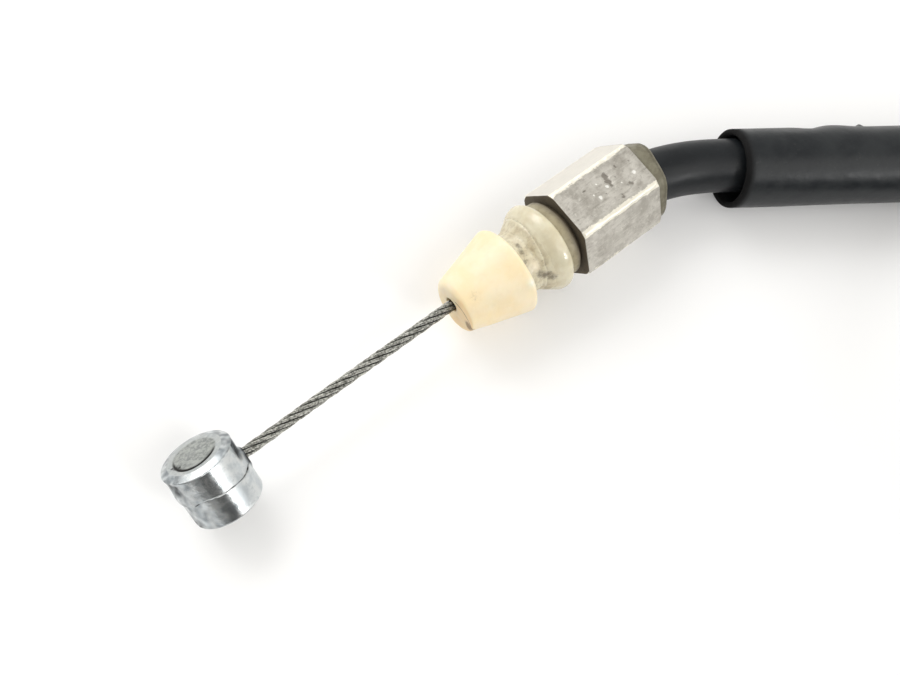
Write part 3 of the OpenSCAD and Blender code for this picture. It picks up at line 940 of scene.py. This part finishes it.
def marked_cap_point(x, r, a, hole):
    """A point of the cap, with its marks: dirt with painted shade, face, and chip, a highlight painted on a
    small raised burr.
    """
    point, chip = cap_point(x, r, a, hole)
    face = (1 - climb((x - CAP_FRONT - 0.04) / 0.12)) * climb((0.3 - point[1]) / 1.2)
    return point, (cap_dirt_and_shade(*point, r, hole), face, chip * (r > CAP_SKIN_R))


def nose_cap(name, place, look, node, hole):
    turns = around(TURNED_SIDES)
    sections = [cap_outline(CAP_ROUND + CAP_ROUND_SPREAD * cos(a)) for a in turns]
    made = [
        [marked_cap_point(x, r, a, hole) for (x, r), a in zip(ring, turns)]
        for ring in zip(*sections)
    ]
    obj = marked_loft(name, made, ("dirt_and_shade", "face", "chip"), place)
    dressed(obj, look, "cable", "cap_plastic", node)


BODY_BORE = 1.1
STEM_END, STEM_R = -12.25, 2.6
NECK_FRONT, NECK_REAR, NECK_R = -7.08, -5.32, 3.7
FLANGE_X, FLANGE_R = -2.5, 5.25
FLANGE_FRONT_ROUND, FLANGE_REAR_ROUND = 1.8, 0.7
SPIGOT_END, SPIGOT_R = 2.4, 3.5
# The step in the front cone, and how far it leans
STEP_X = -4.38
STEP_TILT = 0.46
# Marks on the neck: x, angle in degrees, half lengths along and round, how dark
NECK_MARKS = [
    (-5.97, 79, 0.4, 0.7, 0.6), (-6.16, 91, 0.4, 0.7, 0.62), (-6.49, 108, 0.35, 0.5, 0.5),
    (-5.5, 142, 0.6, 0.9, 0.66), (-4.95, 149, 0.8, 0.7, 0.72), (-4.45, 155, 0.7, 0.7, 0.62),
    (-6.7, 140, 0.4, 0.8, 0.45), (-5.35, 100, 0.25, 0.9, 0.4),
]
# A pale lump there: x, angle and half lengths
NECK_LUMP = (-5.76, 124, 0.45, 0.6)


def body_outline():
    stem = [(STEM_END, BODY_BORE), (STEM_END, STEM_R - 0.15), (STEM_END + 0.15, STEM_R)]
    neck = [
        (NECK_FRONT, STEM_R), (NECK_FRONT, NECK_R - 0.1), (NECK_FRONT + 0.1, NECK_R),
        (NECK_REAR, NECK_R), (NECK_REAR + 0.12, NECK_R + 0.04),
    ]
    front = arc(FLANGE_X, FLANGE_R - FLANGE_FRONT_ROUND, FLANGE_FRONT_ROUND, 125, 90, 14)
    rear = arc(FLANGE_X, FLANGE_R - FLANGE_REAR_ROUND, FLANGE_REAR_ROUND, 90, 0, 10)
    spigot = [(rear[-1][0], SPIGOT_R + 0.05), (SPIGOT_END, SPIGOT_R), (SPIGOT_END, BODY_BORE)]
    return filled(stem + neck + front + rear[1:] + spigot, 0.08)


def neck_spot(x, r, a, at, angle, along, round_it):
    away = hypot((x - at) / along, r * angle_gap(a, radians(angle)) / round_it)
    return swell(away, 0, 1)


def body_point(x, r, a):
    """A point of the snap body, with its marks: worn, dirt with painted shade in its corners and step, and
    pale.
    """
    where = Vector(turned(x, r, a))
    if r < 3 or x > -2:
        return where, (0, 0, 0)
    worn = 1 - climb((x + 4.6) / 0.8)
    step = swell(x, STEP_X + STEP_TILT * cos(a), 0.11)
    spots = [neck_spot(x, r, a, *spot[:4]) * spot[4] for spot in NECK_MARKS]
    lump = neck_spot(x, r, a, *NECK_LUMP)
    r += 0.03 * noise.noise(where * 0.6) + worn * 0.06 * noise.noise(where * 1.2)
    r += 0.16 * lump - 0.08 * max(spots) - 0.07 * step
    # Dirt and painted shade: darker in the corners where the neck meets the cap and the flange, and in the
    # step
    corner = 0.35 * swell(x, -5.25, 0.12) + 0.45 * swell(x, -7.05, 0.12)
    dirt_and_shade = max(max(spots), corner, 0.42 * step)
    return turned(x, r, a), (worn, dirt_and_shade, lump)


def snap_body(name, place, look, node):
    made = [[body_point(x, r, a) for a in around(TURNED_SIDES)] for x, r in body_outline()]
    obj = marked_loft(name, made, ("worn", "dirt_and_shade", "pale"), place)
    dressed(obj, look, "cable", "body_plastic", node)


SEAL_FRONT, SEAL_REAR = -1.78, -0.02
SEAL_R = 4.55
SEAL_BORE = 3.65
SEAL_CHAMFER = 0.6


def seal_point(x, r, a):
    """A point of the seal ring, with its mark: how dark it is, a painted shade that deepens towards the
    ferrule.
    """
    r += 0.03 * rough(turned(x, 5, a), 0.9)
    return turned(x, r, a), (climb((x + 1.3) / 0.9),)


def seal_ring(name, place, look, node):
    rim = [
        (SEAL_FRONT, SEAL_R - 0.08), (SEAL_FRONT + 0.08, SEAL_R), (-SEAL_CHAMFER, SEAL_R),
        (SEAL_REAR, SEAL_R - SEAL_CHAMFER - SEAL_REAR),
    ]
    outline = filled([(SEAL_FRONT, SEAL_BORE), *rim, (SEAL_REAR, SEAL_BORE)], 0.1)
    made = [[seal_point(x, r, a) for a in around(TURNED_SIDES)] for x, r in outline]
    obj = marked_loft(name, made, ("dark",), place)
    dressed(obj, look, "cable", "seal_plastic", node)


# ---- Hexagon ferrule and bush ----

HEX_L = 11.1
HEX_AF = 10
CORNER_R = HEX_AF / 2 / cos(pi / 6)
HEX_CORNER = 0.3
HEX_FLAT_STEPS = 34
CHAMFER_IN = 0.3
CHAMFER_SLOPE = 1.2
# Its socket for the spigot, and its bore for the conduit, which widens towards the rear
SOCKET_R, SOCKET_MOUTH_R, SOCKET_END = 3.6, 3.62, 2.3
CONDUIT_R, CONDUIT_MOUTH_R, CONDUIT_TAPER_END = 3.17, 3.68, 7.4
END_STEPS = (0, 0.05, 0.12, 0.2, 0.3)
EDGE_REACH = 0.5
# How worn each of the six edges is, and how bright its painted highlight is, from the one toward +Y
EDGE_WEAR_AND_HIGHLIGHT = (0.5, 0.72, 1.0, 0.4, 0.6, 0.6)
# Painted light on each of the six flats, from the one between +Y and +Z, the flat that faces the light
FLAT_PAINTED_LIGHT = (0.75, 0, 0, 0.3, 0, 0)
# Dark dents on the upper flat: (x, y), size, depth
DINGS = [
    ((6.54, 1.4), 0.3, 0.08), ((6.5, 0.95), 0.26, 0.08), ((6.42, 0.45), 0.3, 0.09), ((6.4, 0.0), 0.2, 0.05),
    ((6.75, 1.05), 0.2, 0.05), ((8.31, -1.16), 0.34, 0.05), ((9.96, 1.12), 0.2, 0.05),
    ((8.25, 1.49), 0.18, 0.04), ((6.62, -1.78), 0.28, 0.04), ((5.3, -0.6), 0.16, 0.03),
    ((7.4, 0.4), 0.16, 0.03), ((3.4, 1.2), 0.16, 0.03),
]
# White chips there: (x, y), size, depth
CHIPS = [
    ((9.59, -0.31), 0.24, 0.04), ((4.48, -0.51), 0.24, 0.05), ((5.91, 0.1), 0.2, 0.03),
    ((4.0, 0.1), 0.12, 0.02), ((5.1, 1.0), 0.12, 0.02), ((7.6, -0.5), 0.12, 0.02),
]


def hex_section(across, corner, flat_steps):
    """Points of a hexagon with round corners, flats up and down: (y, z, wear and painted highlight of its
    edge, painted light of its flat).
    """
    middle = (across / 2 - corner) / cos(pi / 6)
    corners = []
    for angle in range(0, 360, 60):
        _, y, z = turned(0, middle, radians(angle))
        corners.append(arc(y, z, corner, angle - 30, angle + 30, 6))
    points = []
    for k in range(6):
        here, there = corners[k], corners[(k + 1) % 6]
        points += [(y, z, EDGE_WEAR_AND_HIGHLIGHT[k], 0) for y, z in here]
        side = dist(here[-1], there[0])
        for i, (y, z) in enumerate(span(here[-1], there[0], flat_steps)[:-1], 1):
            u = i / flat_steps
            wear = EDGE_WEAR_AND_HIGHLIGHT[k if u < 0.5 else (k + 1) % 6]
            near = wear * max(0, 1 - min(u, 1 - u) * side / EDGE_REACH)
            points.append((y, z, near, FLAT_PAINTED_LIGHT[k]))
    return points


def ring_within(section, x, radius):
    """The section at x, held within a circle; a bore's ring where the circle is the smaller."""
    ring = []
    for y, z, *_ in section:
        k = min(1, radius / hypot(y, z))
        ring.append((x, y * k, z * k))
    return ring


def rings_between(first, last, steps):
    """The rings in so many steps from one to another, without either."""
    return list(zip(*[span(p, q, steps)[:-1] for p, q in zip(first, last)]))


def hex_ferrule(name, place, look, node, seed):
    section = hex_section(HEX_AF, HEX_CORNER, HEX_FLAT_STEPS)
    cut = CORNER_R - CHAMFER_IN
    end = END_STEPS[-1]
    stations = [*END_STEPS] + [end + (HEX_L - 2 * end) * i / 90 for i in range(1, 91)]
    stations += [HEX_L - x for x in END_STEPS[-2::-1]]
    outside = [ring_within(section, x, cut + CHAMFER_SLOPE * min(x, HEX_L - x)) for x in stations]
    front_bore = ring_within(section, 0, SOCKET_MOUTH_R)
    rear_bore = ring_within(section, HEX_L, CONDUIT_MOUTH_R)
    conduit_end = ring_within(section, SEAT_X, CONDUIT_R)
    rings = (
        [ring_within(section, SOCKET_END, SOCKET_R), front_bore]
        + rings_between(front_bore, outside[0], 12)
        + outside
        + rings_between(outside[-1], rear_bore, 12)
        + [rear_bore, ring_within(section, CONDUIT_TAPER_END, CONDUIT_R), conduit_end]
    )
    made = [
        [ferrule_point(*point, near, painted_light, seed) for point, (_, _, near, painted_light) in zip(ring, section)]
        for ring in rings
    ]
    obj = marked_loft(name, made, ("edge", "ding", "chip", "grime", "painted_light"), place)
    dressed(obj, look, "cable", "ferrule_metal", node)


def dented(spots, x, y):
    """How much the point lies in one of the spots, 0 to 1, and how deep it is there."""
    shares = [swell(dist((x, y), at), 0, size) for at, size, _ in spots]
    return max(shares), sum(share * deep for share, (*_, deep) in zip(shares, spots))


def ferrule_point(x, y, z, near, painted_light, seed):
    """A point of the ferrule, moved for wear and dents, with its marks: edge (wear and painted highlight),
    ding, chip, grime (dirt and painted shade) and painted light.
    """
    r = hypot(y, z)
    front, rear = x < 0.02, x > HEX_L - 0.02
    depth = 0.02 * rough((x, y, z), 1.3, seed) + 0.012 * rough((x, y, z), 0.4, seed)
    if front or rear or r < 4.8:
        # Painted shade and dirt on the end faces and in the bores
        grime = 0.6 if rear else 1.0
        return (x + 0.3 * depth * (front or rear), y, z), (0, 0, 0, grime, 0)
    dent, chip = 0.0, 0.0
    if z > 4.7:
        ragged_x, ragged_y = x + 0.3 * rough((x, y, 1), 0.5), y + 0.3 * rough((x, y, 5), 0.5)
        dent, dent_depth = dented(DINGS, ragged_x, ragged_y)
        chip, chip_depth = dented(CHIPS, x, y)
        depth -= dent_depth + chip_depth
    depth -= 0.07 * near * near * max(0, 0.4 + 1.4 * rough((x, y, z), 0.8, seed + 2))
    k = 1 + depth / r
    # Painted shade and dirt along the front edge
    return (x, y * k, z * k), (near, dent, chip, 0.45 * max(0, 1 - x / 0.12), painted_light)


BUSH_AF = 8.9
BUSH_CORNER = 2.5
BUSH_L = 2.2
BUSH_ROUND = 0.5
BUSH_BORE_R = 3.18


def rear_bush(name, place, middle, heading, look, node):
    """A six-sided bush round the conduit, cut square where it seats on the ferrule."""
    x0, y0 = middle
    rear = HEX_L + BUSH_L - x0
    dx, dy = cos(radians(heading)), sin(radians(heading))
    # Each ring's place along the bush, its share of the way there from the seat, its size
    stations = [(0, 0, 1.0), (0, 0.5, 1.0), (0, 1, 0.99), (0.5 * rear, 1, 0.98)]
    for i in range(7):
        t = radians(15 * i)
        stations.append((rear - BUSH_ROUND * (1 - sin(t)), 1, 0.97 - 0.1 * (1 - cos(t))))
    section = hex_section(BUSH_AF, BUSH_CORNER, 10)

    def bush_point(x, share, y, z):
        seat = (HEX_L - x0 + y * dy) / dx
        along = seat + (x - seat) * share
        k = 1 + 0.006 * rough((along, y, z), 0.8)
        return (x0 + along * dx - y * k * dy, y0 + along * dy + y * k * dx, z * k)

    rings = [
        [bush_point(x, share, y * size, z * size) for y, z, *_ in section]
        for x, share, size in stations
    ]
    bore = ring_within(section, 0, BUSH_BORE_R)
    hole = [bush_point(rear, 1, y, z) for _, y, z in bore]
    start = rings_between(rings[-1], hole, 4)[-1]
    seat = [bush_point(0, 0, y, z) for _, y, z in bore]
    obj = loft(name, rings + [start, hole, seat], closed=True, place=place)
    dressed(obj, look, "cable", "bush_plastic", node)


# ---- Fittings ----

# Each end's nipple by its middle's x and its turn in degrees, where its rope ends inside and how it
# leans, its cap's hole, a point on its bush's middle line with the heading there, and a seed for wear
FITTINGS = {
    "near": (NEAR, (-45.2, 42), (-14.4, NEAR_LEAN), NEAR_HOLE, ((12.5, -0.55), -11.9), 4),
    "far": (FAR, (-19.15, 0), (11.65, FAR_LEAN), FAR_HOLE, ((HEX_L + 1.1, 0), 0), 3),
}


def make_fitting(end, looks, place, nipple_at, rope_in, hole, bush_at, seed):
    body = f"{end}_end"
    x, turned_by = nipple_at
    turn = Matrix.Rotation(radians(turned_by - 90), 4, "X")
    barrel = place @ Matrix.Translation((x, 0, 0)) @ turn
    nipple(f"{end}_nipple_cast", barrel, body, looks["nipple"], f"{end}_nipple")
    rope(f"{end}_wire_rope", x - ROPE_PAST, *rope_in, place, body, looks["wire"], f"{end}_wire")
    nose_cap(f"{end}_cap_shell", place, looks["cap"], f"{end}_nose_cap", hole)
    snap_body(f"{end}_body_flange", place, looks["body"], f"{end}_snap_body")
    seal_ring(f"{end}_seal", place, looks["seal"], f"{end}_seal_ring")
    hex_ferrule(f"{end}_ferrule", place, looks["ferrule"], f"{end}_hex_ferrule", seed)
    rear_bush(f"{end}_bush", place, *bush_at, looks["bush"], f"{end}_rear_bush")


def make_fittings():
    looks = {
        "nipple": nipple_look(),
        "wire": wire_look(),
        "cap": cap_look(),
        "body": body_look(),
        "seal": seal_look(),
        "ferrule": ferrule_look(),
        "bush": bush_look(),
    }
    for end, values in FITTINGS.items():
        make_fitting(end, looks, *values)


def dress_hidden():
    """Materials for the CAD's own meshes inside the jacket."""
    for layer, values in HIDDEN.items():
        look = hidden_look(*values)
        for node in layer_nodes(layer):
            node.data.materials.clear()
            node.data.materials.append(look)


# ---- Floor and light ----

FLOOR_REACH = 1500
FLOOR_PALE = 0.86
# The floor glows a little, and more from the first to the second distance
FLOOR_GLOW = (0.13, 0.38)
FLOOR_FADE = (300, 1100)
# A little more glow between the coil and the camera's view, where the coil only just shades it
COIL_SIDE = (45, -75, FLOOR_Z)
COIL_SIDE_FADE = (42, 55)
COIL_SIDE_GLOW = 0.09


def make_floor():
    mesh = bpy.data.meshes.new("floor")
    reach = FLOOR_REACH * MM
    corners = [(x * reach, y * reach, FLOOR_Z * MM) for x, y in ((-1, -1), (1, -1), (1, 1), (-1, 1))]
    mesh.from_pydata(corners, [], [(0, 1, 2, 3)])
    floor = put("floor", mesh)
    look = Look("floor_white")
    nodes = look.tree.nodes
    nodes.remove(look.surface)
    matt = look.node("ShaderNodeBsdfDiffuse", {"Color": (FLOOR_PALE, FLOOR_PALE, FLOOR_PALE, 1)})
    rays = look.node("ShaderNodeLightPath")
    seen = look.calc("MAXIMUM", rays.outputs["Is Camera Ray"], rays.outputs["Is Glossy Ray"])
    seen = look.calc("MAXIMUM", seen, rays.outputs["Is Transmission Ray"])
    far = look.spread(look.moved("DISTANCE", (0, 0, 0)), *FLOOR_FADE, *FLOOR_GLOW)
    side = look.spread(look.moved("DISTANCE", COIL_SIDE), *COIL_SIDE_FADE, COIL_SIDE_GLOW, 0)
    strength = look.times(seen, look.plus(far, side))
    glow = look.node("ShaderNodeEmission", {"Color": (1, 1, 1, 1), "Strength": strength})
    both = look.node("ShaderNodeAddShader", {0: matt.outputs[0], 1: glow.outputs[0]})
    look.link(both.outputs[0], nodes["Material Output"].inputs["Surface"])
    mesh.materials.append(look.material)


SKY_BASE = 0.58
SKY_TINT = (1.0, 0.985, 0.955, 1)
SKY_PANELS = [
    # azimuth of the middle, half the width, lowest and highest elevation, soft edge, brightness
    (105, 36, 10, 60, 14, 1.5),
    (-80, 42, 42, 62, 9, 2.3),
    (-41, 36, -2, 34, 8, 1.7),
    (-165, 32, -5, 40, 26, 0.42),
    (-125, 22, -5, 32, 14, 0.3),
    (-96, 20, -5, 31, 3, 0.13),
]


def make_world():
    world = bpy.data.worlds.new("studio")
    bpy.context.scene.world = world
    sky = Shader(world)
    back = sky.tree.nodes["Background"]

    def inside(angle, middle, half, soft):
        """1 within half of the middle, all in degrees, and 0 outside, with a soft edge."""
        away = sky.calc("WRAP", sky.calc("SUBTRACT", angle, radians(middle)), pi, -pi)
        edges = (radians(half - soft / 2), radians(half + soft / 2))
        return sky.spread(sky.calc("ABSOLUTE", away), *edges, 1.0, 0.0)

    place = sky.node("ShaderNodeTexCoord").outputs["Generated"]
    axes = sky.node("ShaderNodeSeparateXYZ", {0: place}).outputs
    azimuth = sky.calc("ARCTAN2", axes["Y"], axes["X"])
    elevation = sky.calc("ARCSINE", axes["Z"])
    level = SKY_BASE
    for middle, half, low, high, soft, bright in SKY_PANELS:
        across = inside(azimuth, middle, half, soft)
        up = inside(elevation, (low + high) / 2, (high - low) / 2, soft)
        level = sky.blend(sky.times(across, up), level, bright)
    # The camera sees plain white, whatever lights the part
    seen = sky.node("ShaderNodeLightPath").outputs["Is Camera Ray"]
    sky.link(sky.blend(seen, level, 1.0), back.inputs["Strength"])
    sky.link(sky.mix(seen, SKY_TINT, (1, 1, 1, 1)), back.inputs["Color"])


def area_lamp(name, at, size, power):
    data = bpy.data.lights.new(name, "AREA")
    data.shape = "RECTANGLE"
    data.size, data.size_y = size
    data.energy = power
    lamp = put(name, data)
    lamp.location = at
    lamp.rotation_euler = (-Vector(at)).to_track_quat("-Z", "Y").to_euler()


def make_light():
    make_world()
    area_lamp("window", (0.03, 0.565, 0.5), (0.58, 0.36), 2.0)
    area_lamp("small", (0.15, -0.61, 0.3), (0.14, 0.14), 1.0)


make_camera()
make_cords()
make_fittings()
dress_hidden()
make_floor()
make_light()
bpy.context.scene.view_settings.view_transform = "Standard"
